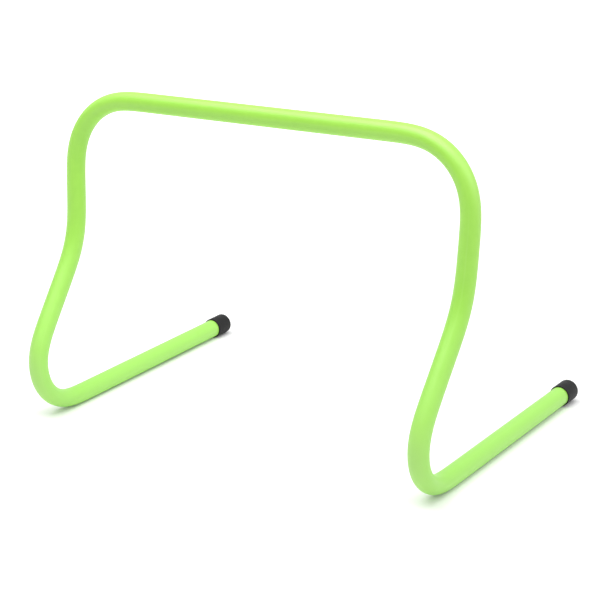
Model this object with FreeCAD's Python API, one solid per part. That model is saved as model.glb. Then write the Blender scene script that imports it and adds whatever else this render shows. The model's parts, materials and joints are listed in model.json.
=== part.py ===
import FreeCAD, Part
import math
import os

Vector = FreeCAD.Vector

# Driving dimensions, in millimetres and degrees.
TUBE_OD = 19.0         # outside diameter of the plastic tube
TUBE_WALL = 1.5        # wall of the tube
BAR_CLEARANCE = 305.0  # floor to the underside of the crossbar
BAR_SPAN = 450.0       # between the axes of the two legs, at the height of the crossbar's axis
FOOT_SPAN = 430.0      # between the axes of the two feet: the legs draw in towards the floor
KNEE_HEIGHT = 170.0    # floor to the corner where the axes of upright and shin would meet
UPRIGHT_ANGLE = 84.5   # between upright and floor, seen from the side
SHIN_ANGLE = 52.0      # between shin and floor, seen from the side
FOOT_LENGTH = 264.0    # straight run of tube from the front bend to its cut end
TOP_BEND_R = 69.0      # bend radii, to the tube's axis
KNEE_BEND_R = 115.0
FRONT_BEND_R = 48.0
CAP_WALL = 1.2         # side wall of an end cap
CAP_SEAT = 22.0        # length of tube that a cap covers
CAP_END = 2.0          # closed end of a cap
CAP_EDGE_R = 3.5       # rounding round the closed end
CAP_LIP = 0.5          # bevel of the mouth, outside and as a lead-in inside
CAP_FIT = 0.05         # radial clearance of a cap's bore on the tube

# Sizes that follow from them.
TUBE_R = TUBE_OD / 2
BAR_AXIS_HEIGHT = BAR_CLEARANCE + TUBE_R
CAP_BORE_R = TUBE_R + CAP_FIT
CAP_R = CAP_BORE_R + CAP_WALL
CAP_LENGTH = CAP_SEAT + CAP_END
LEG_LEAN = (BAR_SPAN - FOOT_SPAN) / 2 / (BAR_AXIS_HEIGHT - TUBE_R)


def leg_corners(side):
    """Corners of one leg's axis, from the cut end of its foot up to the crossbar. side is -1 left, +1 right.

    The caps are fatter than the tube, so each foot rises a little towards its cap,
    and the hurdle stands on its two front bends and the mouths of its two caps.
    """
    shin = math.radians(SHIN_ANGLE)
    rise = math.asin((CAP_R - TUBE_R) / (FOOT_LENGTH - CAP_SEAT))
    front_tangent = FRONT_BEND_R / math.tan((shin - rise) / 2)
    front_z = TUBE_R - front_tangent * math.sin(rise)
    knee_y = -(BAR_AXIS_HEIGHT - KNEE_HEIGHT) / math.tan(math.radians(UPRIGHT_ANGLE))
    front_y = knee_y - (KNEE_HEIGHT - front_z) / math.tan(shin)
    foot_run = front_tangent + FOOT_LENGTH
    outline = [
        (front_y + foot_run * math.cos(rise), front_z + foot_run * math.sin(rise)),
        (front_y, front_z),
        (knee_y, KNEE_HEIGHT),
        (0.0, BAR_AXIS_HEIGHT),
    ]
    return [Vector(side * (FOOT_SPAN / 2 + LEG_LEAN * (z - TUBE_R)), y, z) for y, z in outline]


def rounded_path(corners, radii):
    """A wire of straight runs between the corners, joined by tangent arcs of the given radii."""
    edges = []
    start = corners[0]
    for before, corner, after, radius in zip(corners, corners[1:], corners[2:], radii):
        back = (before - corner).normalize()
        ahead = (after - corner).normalize()
        half_angle = back.getAngle(ahead) / 2
        tangent = radius / math.tan(half_angle)
        arc_start = corner + back * tangent
        arc_middle = corner + (back + ahead).normalize() * (radius / math.sin(half_angle) - radius)
        arc_end = corner + ahead * tangent
        edges.append(Part.LineSegment(start, arc_start).toShape())
        edges.append(Part.Arc(arc_start, arc_middle, arc_end).toShape())
        start = arc_end
    edges.append(Part.LineSegment(start, corners[-1]).toShape())
    return Part.Wire(edges)


def make_tube(left, right):
    """The bent tube, swept from the cut end of one foot to the cut end of the other, and open right through."""
    leg_radii = [FRONT_BEND_R, KNEE_BEND_R, TOP_BEND_R]
    path = rounded_path(left + right[::-1], leg_radii + leg_radii[::-1])

    def round_bar(radius):
        end = Part.makeCircle(radius, left[0], left[1] - left[0])
        return path.makePipe(Part.Face(Part.Wire(end)))

    return round_bar(TUBE_R).cut(round_bar(TUBE_R - TUBE_WALL)).Solids[0]


def make_cap(foot_end, foot_corner):
    """One end cap, a turned cup pushed on until its floor meets the cut end of the foot."""
    def at(radius, depth):
        return Vector(radius, 0, depth)

    shoulder = CAP_LENGTH - CAP_EDGE_R
    crown = CAP_R - CAP_EDGE_R
    slant = CAP_EDGE_R * math.sqrt(0.5)
    inside = [at(0, CAP_LENGTH), at(0, CAP_SEAT), at(CAP_BORE_R, CAP_SEAT), at(CAP_BORE_R, CAP_LIP)]
    mouth = [at(CAP_BORE_R + CAP_LIP, 0), at(CAP_R - CAP_LIP, 0)]
    outside = [at(CAP_R, CAP_LIP), at(CAP_R, shoulder)]
    corners = inside + mouth + outside
    edges = [Part.LineSegment(a, b).toShape() for a, b in zip(corners, corners[1:])]
    end_edge = Part.Arc(corners[-1], at(crown + slant, shoulder + slant), at(crown, CAP_LENGTH))
    edges.append(end_edge.toShape())
    edges.append(Part.LineSegment(at(crown, CAP_LENGTH), corners[0]).toShape())
    cap = Part.Face(Part.Wire(edges)).revolve(Vector(0, 0, 0), Vector(0, 0, 1), 360)
    rearward = (foot_end - foot_corner).normalize()
    turn = FreeCAD.Rotation(Vector(0, 0, 1), rearward)
    cap.Placement = FreeCAD.Placement(foot_end - rearward * CAP_SEAT, turn)
    return cap


def centred(pieces):
    """The pieces moved so that the origin lies on the floor, in the middle of the hurdle's width and depth."""
    box = Part.makeCompound(list(pieces.values())).optimalBoundingBox(False)
    return {name: piece.translated(Vector(0, -box.Center.y, 0)) for name, piece in pieces.items()}


def make_hurdle():
    left = leg_corners(-1)
    right = leg_corners(1)
    pieces = {
        "hurdle_tube": make_tube(left, right),
        "left_end_cap": make_cap(left[0], left[1]),
        "right_end_cap": make_cap(right[0], right[1]),
    }
    return centred(pieces)


def main():
    os.makedirs("parts", exist_ok=True)
    for name, piece in make_hurdle().items():
        piece.exportStep(os.path.join("parts", name + ".step"))


main()
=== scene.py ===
import json
import math

import bpy
from mathutils import Matrix, Vector


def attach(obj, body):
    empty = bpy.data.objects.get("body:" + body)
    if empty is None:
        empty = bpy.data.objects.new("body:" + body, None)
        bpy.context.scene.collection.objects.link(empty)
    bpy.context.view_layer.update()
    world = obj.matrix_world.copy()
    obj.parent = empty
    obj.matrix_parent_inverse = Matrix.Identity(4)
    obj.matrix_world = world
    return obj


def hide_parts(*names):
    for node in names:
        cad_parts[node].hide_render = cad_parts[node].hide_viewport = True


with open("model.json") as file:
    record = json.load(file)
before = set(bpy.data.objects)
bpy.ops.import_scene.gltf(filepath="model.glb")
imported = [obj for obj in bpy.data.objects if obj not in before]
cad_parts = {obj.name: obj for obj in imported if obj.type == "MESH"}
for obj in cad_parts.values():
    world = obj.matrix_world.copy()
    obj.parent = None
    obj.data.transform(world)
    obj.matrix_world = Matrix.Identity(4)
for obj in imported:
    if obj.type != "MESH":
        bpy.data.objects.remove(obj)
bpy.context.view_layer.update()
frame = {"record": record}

mounts = {mount["name"]: mount for mount in frame["record"]["mounts"]}

# The tube's route, in metres and degrees.
TUBE_R = mounts["crossbar"]["dims"]["r_mm"] / 1000
TUBE_WALL = 0.0015
BAR_AXIS = Vector(mounts["crossbar"]["pos_m"])
BAR_SPAN = 0.450
FOOT_SPAN = 0.430
KNEE_HEIGHT = 0.170
UPRIGHT_ANGLE = 84.5
SHIN_ANGLE = 52.0
FOOT_LENGTH = 0.264
FRONT_BEND_R = 0.048   # nominal radius, which sets where the straight run of a foot begins

# The end caps, in metres.
CAP_R = mounts["left_foot_end"]["dims"]["r_mm"] / 1000
CAP_WALL = 0.0012
CAP_SEAT = 0.022
CAP_END = 0.002
CAP_EDGE_R = 0.0035
CAP_LIP = 0.0005
CAP_BORE_R = CAP_R - CAP_WALL
CAP_LENGTH = CAP_SEAT + CAP_END
GATE_R = 0.0014        # moulding mark in the middle of the closed end
GATE_DEPTH = 0.0003

# How the bent plastic departs from plain arcs and a perfect round tube, in metres.
BEND_EASE = 0.014         # a bend sets in and fades out over about this length each way
TIGHT_FRONT_R = 0.046     # so in their middle the bends are a little tighter than a plain arc
TIGHT_KNEE_R = 0.090
TIGHT_TOP_R = 0.064
FLATTENING = 0.2          # share of the bending strain that shows as a flatter section
CUT_EDGE_BREAK = 0.0003   # bevel of the saw-cut ends
WEAR_HEIGHT = 0.004       # surfaces lower than this rub on the floor
PAINTED_HAZE_HEIGHTS = (0.03, 0.24)   # painted reflection haze clouds the tube paler below the first, and fades out up to the second

# Finishes: noise in lumps to the metre, relief in metres, roughness from 0 to 1.
DRIFT_SCALE = 9.0
CLOUD_SCALE = 130.0
GRAIN_SCALE = 1900.0
DIE_LINE_SCALES = (3.0, 620.0, 620.0)   # along the tube and across it
TUBE_RUB_SCALES = (90.0, 700.0, 700.0)
DRIFT_SHARE = 0.6                       # share of the tone that is drift, the rest being cloud
DIE_LINE_DEPTH = 0.00006
GRAIN_DEPTH = 0.000012
TUBE_RUB_DEPTH = 0.00012
TUBE_ROUGHNESS = (0.40, 0.46)
TUBE_SCUFF_ROUGHNESS = 0.22             # added where it is scuffed
TUBE_SPECULAR = 1.0
TUBE_GRIME = 0.7
STRETCH_LIMIT = 0.2                     # strain at which the paling is full
STRETCH_PALING = 0.2
DIE_LINE_PALING = 0.1
BLOOM_SCALE = 160.0
PEBBLE_SCALE = 2600.0
CAP_RUB_SCALES = (900.0, 900.0, 120.0)  # round the cap and along it
PEBBLE_DEPTH = 0.00008
CAP_ROUGHNESS = (0.48, 0.60)
CAP_SCUFF_ROUGHNESS = 0.2
CAP_SPECULAR = 0.25
CAP_RUBBING = 0.8
NOISE_LOW = 0.3                         # nearly all of a noise lies between these two
NOISE_HIGH = 0.7

# Mesh density.
TUBE_SIDES = 64
CAP_SIDES = 96
AXIS_STEP = 0.004
BORE_STRIDE = 3
ROUNDING_STEPS = 6
SHARP_ANGLE = 35

# Photograph's camera: where it looks, from where, and how wide.
CAMERA_TARGET = BAR_AXIS + Vector((0.0263, 0.018, 0.1346 - BAR_AXIS.z))
CAMERA_AZIMUTH = 33.43
CAMERA_ELEVATION = 17.91
CAMERA_ROLL = -1.30
CAMERA_DISTANCE = 1.6964
CAMERA_LENS = 106.23
CAMERA_SENSOR = 36.0

# Studio.
WHITE = (1.0, 1.0, 1.0, 1.0)
FLOOR_HALF = 6.0
FLOOR_COLOUR = (0.90, 0.90, 0.90, 1.0)
FLOOR_LIFT = 0.35        # light that the camera adds to the white floor, so that faint shade washes out
PAINTED_SHADE_REACH = 0.03     # but not this close to what stands on it: there the lift is withheld, a painted contact shade
FLOOR_FADE = (0.4, 1.6)  # distances over which the floor goes over into the white of the room
ROOM_LIGHT = 0.25
SOFTBOX_SIZE = (2.4, 1.6)
SOFTBOX_CENTRE = (-0.25, -0.4, 2.0)
SOFTBOX_POWER = 38.5
FILLS = (                # name, azimuth, elevation, energy, how wide it looks in degrees
    ("front_fill", 20, 55, 0.15, 50),
    ("right_fill", 100, 42, 0.78, 50),
    ("back_fill", 123, 18, 0.15, 45),
)


def srgb(red, green, blue):
    """A colour given in 0 to 255 screen values, as linear RGBA."""
    def linear(value):
        share = value / 255
        return share / 12.92 if share <= 0.04045 else ((share + 0.055) / 1.055) ** 2.4
    return (linear(red), linear(green), linear(blue), 1.0)


def smooth_step(share):
    share = min(max(share, 0.0), 1.0)
    return share * share * (3 - 2 * share)


# The tube's route.

def leg_corners(side):
    """Corners of one leg's axis, from the cut end of its foot up to the bar. side is -1 left, +1 right."""
    shin = math.radians(SHIN_ANGLE)
    rise = math.asin((CAP_R - TUBE_R) / (FOOT_LENGTH - CAP_SEAT))
    front_tangent = FRONT_BEND_R / math.tan((shin - rise) / 2)
    front_z = TUBE_R - front_tangent * math.sin(rise)
    knee_y = -(BAR_AXIS.z - KNEE_HEIGHT) / math.tan(math.radians(UPRIGHT_ANGLE))
    front_y = knee_y - (KNEE_HEIGHT - front_z) / math.tan(shin)
    foot_run = front_tangent + FOOT_LENGTH
    outline = [
        (front_y + foot_run * math.cos(rise), front_z + foot_run * math.sin(rise)),
        (front_y, front_z),
        (knee_y, KNEE_HEIGHT),
        (0.0, BAR_AXIS.z),
    ]
    lean = (BAR_SPAN - FOOT_SPAN) / 2 / (BAR_AXIS.z - TUBE_R)
    return [Vector((side * (FOOT_SPAN / 2 + lean * (z - TUBE_R)), BAR_AXIS.y + y, z)) for y, z in outline]


def plain_axis():
    """Points of the tube's axis, about a step apart, on straight runs and tangent arcs."""
    corners = leg_corners(-1) + leg_corners(1)[::-1]
    leg_radii = [TIGHT_FRONT_R, TIGHT_KNEE_R, TIGHT_TOP_R]
    points = []

    def add_straight(start, end):
        steps = round((end - start).length / AXIS_STEP)
        points.extend(start.lerp(end, step / steps) for step in range(steps))

    start = corners[0]
    for before, corner, after, radius in zip(corners, corners[1:], corners[2:], leg_radii + leg_radii[::-1]):
        direction = (corner - before).normalized()
        ahead = (after - corner).normalized()
        turn = direction.angle(ahead)
        tangent = radius * math.tan(turn / 2)
        arc_start = corner - direction * tangent
        add_straight(start, arc_start)
        inward = (ahead - direction * ahead.dot(direction)).normalized()
        steps = round(turn * radius / AXIS_STEP)
        for angle in (turn * step / steps for step in range(steps)):
            points.append(arc_start + (direction * math.sin(angle) + inward * (1 - math.cos(angle))) * radius)
        start = corner + ahead * tangent
    add_straight(start, corners[-1])
    points.append(corners[-1])
    return points


def with_ends(points):
    """The points with one more at each end, straight on."""
    return [points[0] * 2 - points[1]] + points + [points[-1] * 2 - points[-2]]


def eased(points):
    """The points with each bend setting in gradually, by averaging neighbours many times over."""
    for number in range(round(2 * (BEND_EASE / AXIS_STEP) ** 2)):
        longer = with_ends(points)
        neighbours = zip(longer, longer[1:], longer[2:])
        points = [(before + point * 2 + after) / 4 for before, point, after in neighbours]
    return points


def tube_stations():
    """Stations along the axis: point, direction, curvature towards the bend's centre, distance travelled."""
    longer = with_ends(eased(plain_axis()))
    stations = []
    travelled = 0.0
    for before, point, after in zip(longer, longer[1:], longer[2:]):
        direction = (after - before).normalized()
        change = (before - point * 2 + after) / ((after - before).length / 2) ** 2
        curvature = change - direction * change.dot(direction)
        stations.append((point, direction, curvature, travelled))
        travelled += (after - point).length
    return stations


# Meshes.

def new_piece(name, vertices, faces, material):
    mesh = bpy.data.meshes.new(name)
    mesh.from_pydata(vertices, [], faces)
    mesh.update()
    mesh.shade_smooth()
    mesh.set_sharp_from_angle(angle=math.radians(SHARP_ANGLE))
    mesh.materials.append(material)
    piece = bpy.data.objects.new(name, mesh)
    bpy.context.scene.collection.objects.link(piece)
    return piece


def store_values(piece, name, values):
    """Keeps one number for each vertex, under a name that the material reads."""
    piece.data.attributes.new(name, "FLOAT", "POINT").data.foreach_set("value", values)


def store_places(piece, name, places):
    """Keeps one place for each vertex, under a name that the material reads."""
    flat = [value for place in places for value in place]
    piece.data.attributes.new(name, "FLOAT_VECTOR", "POINT").data.foreach_set("vector", flat)


def floor_wear(height):
    return smooth_step(1 - height / WEAR_HEIGHT)


# Share of painted reflection haze: full below the lower height, none above the upper one.
def painted_reflection_haze(height):
    lowest, highest = PAINTED_HAZE_HEIGHTS
    return smooth_step((highest - height) / (highest - lowest))


def bridge(rings, closed=False):
    """Quads between each ring of vertex numbers and the next, and from the last to the first if closed."""
    pairs = list(zip(rings, rings[1:]))
    if closed:
        pairs.append((rings[-1], rings[0]))
    faces = []
    for one, other in pairs:
        sides = len(one)
        for side in range(sides):
            after = (side + 1) % sides
            faces.append((one[side], one[after], other[after], other[side]))
    return faces


def section_starts(stations):
    """For each station, the direction in which its section starts, carried along the route without twist."""
    start = stations[0][1].orthogonal().normalized()
    starts = []
    for point, direction, curvature, travelled in stations:
        start = (start - direction * start.dot(direction)).normalized()
        starts.append(start)
    return starts


def make_tube(material):
    """The bent tube: outer skin, bore and two cut ends. Its straightened shape is stored for the finish."""
    stations = tube_stations()
    starts = section_starts(stations)
    vertices = []
    straightened = []
    strains = []

    def ring(number, section_r, shift=0.0):
        point, direction, curvature, travelled = stations[number]
        first = starts[number]
        second = direction.cross(first)
        to_centre = curvature.normalized()
        across = direction.cross(to_centre)
        flattening = FLATTENING * curvature.length * TUBE_R
        ring_start = len(vertices)
        for side in range(TUBE_SIDES):
            angle = 2 * math.pi * side / TUBE_SIDES
            out = first * math.cos(angle) + second * math.sin(angle)
            flatter = across * out.dot(across) - to_centre * out.dot(to_centre)
            shaped = out + flatter * flattening
            vertices.append(point + direction * shift + shaped * section_r)
            straightened.append((travelled + shift, math.cos(angle) * section_r, math.sin(angle) * section_r))
            strains.append(-out.dot(curvature) * section_r)
        return list(range(ring_start, len(vertices)))

    bore_r = TUBE_R - TUBE_WALL
    last = len(stations) - 1
    rings = [ring(0, TUBE_R - CUT_EDGE_BREAK), ring(0, TUBE_R, CUT_EDGE_BREAK)]
    rings += [ring(number, TUBE_R) for number in range(1, last)]
    rings += [ring(last, TUBE_R, -CUT_EDGE_BREAK), ring(last, TUBE_R - CUT_EDGE_BREAK)]
    rings += [ring(last, bore_r + CUT_EDGE_BREAK), ring(last, bore_r, -CUT_EDGE_BREAK)]
    rings += [ring(number, bore_r) for number in range(last - BORE_STRIDE, BORE_STRIDE, -BORE_STRIDE)]
    rings += [ring(0, bore_r, CUT_EDGE_BREAK), ring(0, bore_r + CUT_EDGE_BREAK)]
    tube = new_piece("bent_tube", vertices, bridge(rings, closed=True), material)
    store_places(tube, "straightened", straightened)
    store_values(tube, "strain", strains)
    store_values(tube, "floor_wear", [floor_wear(vertex.z) for vertex in vertices])
    store_values(tube, "painted_reflection_haze", [painted_reflection_haze(vertex.z) for vertex in vertices])
    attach(tube, "frame")
    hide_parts("hurdle_tube")


def rounding(centre, radius, first, last):
    """Points of an arc in a half section, from the first angle to the last, in degrees."""
    angles = []
    for step in range(ROUNDING_STEPS + 1):
        angles.append(math.radians(first + (last - first) * step / ROUNDING_STEPS))
    return [(centre[0] + radius * math.cos(a), centre[1] + radius * math.sin(a)) for a in angles]


def cap_section():
    """Half section of a cap: from the rim of its floor, round lip and closed end, to the moulding mark."""
    section = [(CAP_BORE_R, CAP_SEAT)]
    section += rounding((CAP_BORE_R + CAP_LIP, CAP_LIP), CAP_LIP, 180, 270)
    section += rounding((CAP_R - CAP_LIP, CAP_LIP), CAP_LIP, 270, 360)
    section += rounding((CAP_R - CAP_EDGE_R, CAP_LENGTH - CAP_EDGE_R), CAP_EDGE_R, 0, 90)
    section += [(GATE_R, CAP_LENGTH), (GATE_R - GATE_DEPTH, CAP_LENGTH - GATE_DEPTH)]
    return section


def make_cap(name, node, body, mount, material):
    """One end cap, turned about its own axis, with its mouth at the object's origin."""
    axis = Vector(mount["axis"])
    mouth = Vector(mount["pos_m"]) - axis * (CAP_LIP + CAP_LENGTH - CAP_EDGE_R) / 2
    vertices = []
    rings = []
    for radius, depth in cap_section():
        rings.append(list(range(len(vertices), len(vertices) + CAP_SIDES)))
        turns = [2 * math.pi * side / CAP_SIDES for side in range(CAP_SIDES)]
        vertices += [(radius * math.cos(turn), radius * math.sin(turn), depth) for turn in turns]
    faces = bridge(rings)
    faces.append(tuple(reversed(rings[0])))
    faces.append(tuple(rings[-1]))
    cap = new_piece(name, vertices, faces, material)
    cap.matrix_world = Matrix.Translation(mouth) @ axis.to_track_quat("Z", "Y").to_matrix().to_4x4()
    heights = [(cap.matrix_world @ Vector(vertex)).z for vertex in vertices]
    store_values(cap, "floor_wear", [floor_wear(height) for height in heights])
    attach(cap, body)
    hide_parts(node)


# Shader nodes.

def new_material(name):
    """A material, its node tree and the principled shader that it starts with."""
    material = bpy.data.materials.new(name)
    material.use_nodes = True
    return material, material.node_tree, material.node_tree.nodes["Principled BSDF"]


def add_node(tree, kind, inputs, **settings):
    """A new shader node. Each input, by name or number, gets a value or a link from another node."""
    node = tree.nodes.new("ShaderNode" + kind)
    for name, value in settings.items():
        setattr(node, name, value)
    for socket, value in inputs.items():
        if isinstance(value, bpy.types.NodeSocket):
            tree.links.new(value, node.inputs[socket])
        else:
            node.inputs[socket].default_value = value
    return node


def attribute(tree, name, output):
    return add_node(tree, "Attribute", {}, attribute_name=name).outputs[output]


def noise(tree, place, scale, detail=2.0):
    """Cloudy noise about 0.5, with about scale lumps to the metre."""
    return add_node(tree, "TexNoise", {"Vector": place, "Scale": scale, "Detail": detail}).outputs["Fac"]


def stretched(tree, place, stretch):
    """A place with each of its coordinates multiplied."""
    return add_node(tree, "VectorMath", {0: place, 1: stretch}, operation="MULTIPLY").outputs["Vector"]


def carried(tree, value, low, high, to_low, to_high):
    """A value carried smoothly from the range low to high onto another range, and held at its ends."""
    inputs = {"Value": value, "From Min": low, "From Max": high, "To Min": to_low, "To Max": to_high}
    return add_node(tree, "MapRange", inputs, interpolation_type="SMOOTHSTEP").outputs["Result"]


def combined(tree, operation, one, other):
    return add_node(tree, "Math", {0: one, 1: other}, operation=operation).outputs["Value"]


def mixed(tree, share, one, other):
    """A colour that goes from one to the other with the share."""
    return add_node(tree, "Mix", {0: share, 6: one, 7: other}, data_type="RGBA").outputs[2]


def relief(tree, height, depth, normal=None):
    """Surface normal with a height map of the given depth in metres, on top of an earlier normal."""
    inputs = {"Height": height, "Distance": depth, "Strength": 1.0}
    if normal:
        inputs["Normal"] = normal
    return add_node(tree, "Bump", inputs).outputs["Normal"]


# Materials.

def scuffs(tree, wear, rubs):
    """Share of the surface that is scuffed: broken streaks where it wears."""
    return combined(tree, "MULTIPLY", wear, carried(tree, rubs, 0.42, 0.62, 0.15, 1.0))


def tube_material():
    """Satin lime plastic with faint die lines, paler where bending stretched it, scuffed low down, and with a
    painted reflection haze that makes it paler low down.
    """
    material, tree, shader = new_material("lime_tube_plastic")
    place = attribute(tree, "straightened", "Vector")
    strain = attribute(tree, "strain", "Fac")
    wear = attribute(tree, "floor_wear", "Fac")
    painted_haze = attribute(tree, "painted_reflection_haze", "Fac")
    drift = noise(tree, place, DRIFT_SCALE)
    cloud = noise(tree, place, CLOUD_SCALE, detail=4.0)
    grain = noise(tree, place, GRAIN_SCALE)
    die_lines = noise(tree, stretched(tree, place, DIE_LINE_SCALES), 1.0, detail=3.0)
    rubs = noise(tree, stretched(tree, place, TUBE_RUB_SCALES), 1.0, detail=4.0)

    lime = srgb(169, 238, 74)
    deep_lime = srgb(163, 234, 67)
    reflection_hazed_lime = srgb(168, 237, 97)
    pale_lime = srgb(204, 250, 140)
    grubby_lime = srgb(150, 196, 92)
    drift_part = combined(tree, "MULTIPLY", drift, DRIFT_SHARE)
    cloud_part = combined(tree, "MULTIPLY", cloud, 1 - DRIFT_SHARE)
    tone = combined(tree, "ADD", drift_part, cloud_part)
    colour = mixed(tree, carried(tree, tone, 0.35, 0.65, 0.0, 1.0), deep_lime, lime)
    # painted reflection haze: the tube is hazed paler and greyer low down
    painted_haze_share = combined(tree, "MULTIPLY", painted_haze, carried(tree, cloud, NOISE_LOW, NOISE_HIGH, 0.8, 1.0))
    colour = mixed(tree, painted_haze_share, colour, reflection_hazed_lime)
    colour = mixed(tree, carried(tree, die_lines, 0.55, 0.75, 0.0, DIE_LINE_PALING), colour, pale_lime)
    colour = mixed(tree, carried(tree, strain, 0.0, STRETCH_LIMIT, 0.0, STRETCH_PALING), colour, pale_lime)
    scuffed = scuffs(tree, wear, rubs)
    colour = mixed(tree, combined(tree, "MULTIPLY", scuffed, TUBE_GRIME), colour, grubby_lime)
    tree.links.new(colour, shader.inputs["Base Color"])

    sheen = carried(tree, cloud, NOISE_LOW, NOISE_HIGH, TUBE_ROUGHNESS[0], TUBE_ROUGHNESS[1])
    rough = combined(tree, "ADD", sheen, combined(tree, "MULTIPLY", scuffed, TUBE_SCUFF_ROUGHNESS))
    tree.links.new(rough, shader.inputs["Roughness"])
    shader.inputs["Specular IOR Level"].default_value = TUBE_SPECULAR
    normal = relief(tree, die_lines, DIE_LINE_DEPTH)
    normal = relief(tree, grain, GRAIN_DEPTH, normal)
    normal = relief(tree, combined(tree, "MULTIPLY", rubs, wear), TUBE_RUB_DEPTH, normal)
    tree.links.new(normal, shader.inputs["Normal"])
    return material


def cap_material():
    """Dull black moulded rubber: a fine pebbled skin with a faint bloom, rubbed grey underneath."""
    material, tree, shader = new_material("black_cap_rubber")
    place = add_node(tree, "TexCoord", {}).outputs["Object"]
    wear = attribute(tree, "floor_wear", "Fac")
    bloom = noise(tree, place, BLOOM_SCALE, detail=4.0)
    pebbles = noise(tree, place, PEBBLE_SCALE)
    rubs = noise(tree, stretched(tree, place, CAP_RUB_SCALES), 1.0, detail=4.0)

    black = srgb(14, 14, 15)
    dusty_black = srgb(24, 24, 25)
    rubbed_grey = srgb(84, 86, 83)
    colour = mixed(tree, carried(tree, bloom, 0.4, 0.7, 0.0, 1.0), black, dusty_black)
    scuffed = scuffs(tree, wear, rubs)
    colour = mixed(tree, combined(tree, "MULTIPLY", scuffed, CAP_RUBBING), colour, rubbed_grey)
    tree.links.new(colour, shader.inputs["Base Color"])

    sheen = carried(tree, bloom, NOISE_LOW, NOISE_HIGH, CAP_ROUGHNESS[0], CAP_ROUGHNESS[1])
    rough = combined(tree, "ADD", sheen, combined(tree, "MULTIPLY", scuffed, CAP_SCUFF_ROUGHNESS))
    tree.links.new(rough, shader.inputs["Roughness"])
    shader.inputs["Specular IOR Level"].default_value = CAP_SPECULAR
    tree.links.new(relief(tree, pebbles, PEBBLE_DEPTH), shader.inputs["Normal"])
    return material


def seen_directly(tree):
    """1 for rays from the camera or off something glossy or clear, 0 for rays that only carry light about."""
    rays = add_node(tree, "LightPath", {}).outputs
    glossy_or_clear = combined(tree, "MAXIMUM", rays["Is Glossy Ray"], rays["Is Transmission Ray"])
    return combined(tree, "MAXIMUM", rays["Is Camera Ray"], glossy_or_clear)


# Stage, light and camera.

def make_floor():
    """A plain white floor with painted contact shade where things touch it. It fades into the white room."""
    material, tree, shader = new_material("white_floor")
    shader.inputs["Base Color"].default_value = FLOOR_COLOUR
    shader.inputs["Roughness"].default_value = 1.0
    shader.inputs["Specular IOR Level"].default_value = 0.0
    shader.inputs["Emission Color"].default_value = WHITE
    place = add_node(tree, "NewGeometry", {}).outputs["Position"]
    distance = add_node(tree, "VectorMath", {0: place}, operation="LENGTH").outputs["Value"]
    far_lift = carried(tree, distance, FLOOR_FADE[0], FLOOR_FADE[1], FLOOR_LIFT, 1.0)
    # painted contact shade: ambient occlusion withholds the lift close to what stands on the floor
    clear_of_painted_shade = add_node(tree, "AmbientOcclusion", {"Distance": PAINTED_SHADE_REACH}).outputs["AO"]
    lift = combined(tree, "MULTIPLY", far_lift, clear_of_painted_shade)
    tree.links.new(combined(tree, "MULTIPLY", seen_directly(tree), lift), shader.inputs["Emission Strength"])
    corners = [(x * FLOOR_HALF, y * FLOOR_HALF, 0) for x, y in ((-1, -1), (1, -1), (1, 1), (-1, 1))]
    new_piece("floor", corners, [(0, 1, 2, 3)], material)


def outward(azimuth, elevation):
    """Direction from the object towards a viewer or a lamp. Azimuth 0 is in front, and 90 is on the right."""
    turn = math.radians(azimuth)
    rise = math.radians(elevation)
    return Vector((math.sin(turn) * math.cos(rise), -math.cos(turn) * math.cos(rise), math.sin(rise)))


def add_lamp(name, kind, strength):
    light = bpy.data.lights.new(name, kind)
    light.energy = strength
    lamp = bpy.data.objects.new(name, light)
    bpy.context.scene.collection.objects.link(lamp)
    return lamp


def make_lights():
    """A wide softbox overhead, wide fills, most of all from the right, and the white room itself."""
    softbox = add_lamp("softbox", "AREA", SOFTBOX_POWER)
    softbox.data.shape = "RECTANGLE"
    softbox.data.size, softbox.data.size_y = SOFTBOX_SIZE
    softbox.location = SOFTBOX_CENTRE
    for name, azimuth, elevation, energy, width in FILLS:
        fill = add_lamp(name, "SUN", energy)
        fill.data.angle = math.radians(width)
        fill.rotation_euler = outward(azimuth, elevation).to_track_quat("Z", "Y").to_euler()
    world = bpy.data.worlds.new("white_room")
    world.use_nodes = True
    tree = world.node_tree
    background = tree.nodes["Background"]
    background.inputs["Color"].default_value = WHITE
    tree.links.new(carried(tree, seen_directly(tree), 0, 1, ROOM_LIGHT, 1.0), background.inputs["Strength"])
    bpy.context.scene.world = world


def make_camera():
    back = outward(CAMERA_AZIMUTH, CAMERA_ELEVATION)
    level = Vector((0, 0, 1)).cross(back).normalized()
    upright = back.cross(level)
    roll = math.radians(CAMERA_ROLL)
    right = level * math.cos(roll) + upright * math.sin(roll)
    up = upright * math.cos(roll) - level * math.sin(roll)
    lens = bpy.data.cameras.new("camera")
    lens.sensor_width = CAMERA_SENSOR
    lens.lens = CAMERA_LENS
    camera = bpy.data.objects.new("camera", lens)
    turn = Matrix((right, up, back)).transposed().to_4x4()
    camera.matrix_world = Matrix.Translation(CAMERA_TARGET + back * CAMERA_DISTANCE) @ turn
    bpy.context.scene.collection.objects.link(camera)
    bpy.context.scene.camera = camera


def main():
    make_tube(tube_material())
    rubber = cap_material()
    make_cap("left_cap", "left_end_cap", "left_cap", mounts["left_foot_end"], rubber)
    make_cap("right_cap", "right_end_cap", "right_cap", mounts["right_foot_end"], rubber)
    make_floor()
    make_lights()
    make_camera()
    bpy.context.scene.view_settings.view_transform = "Standard"


main()
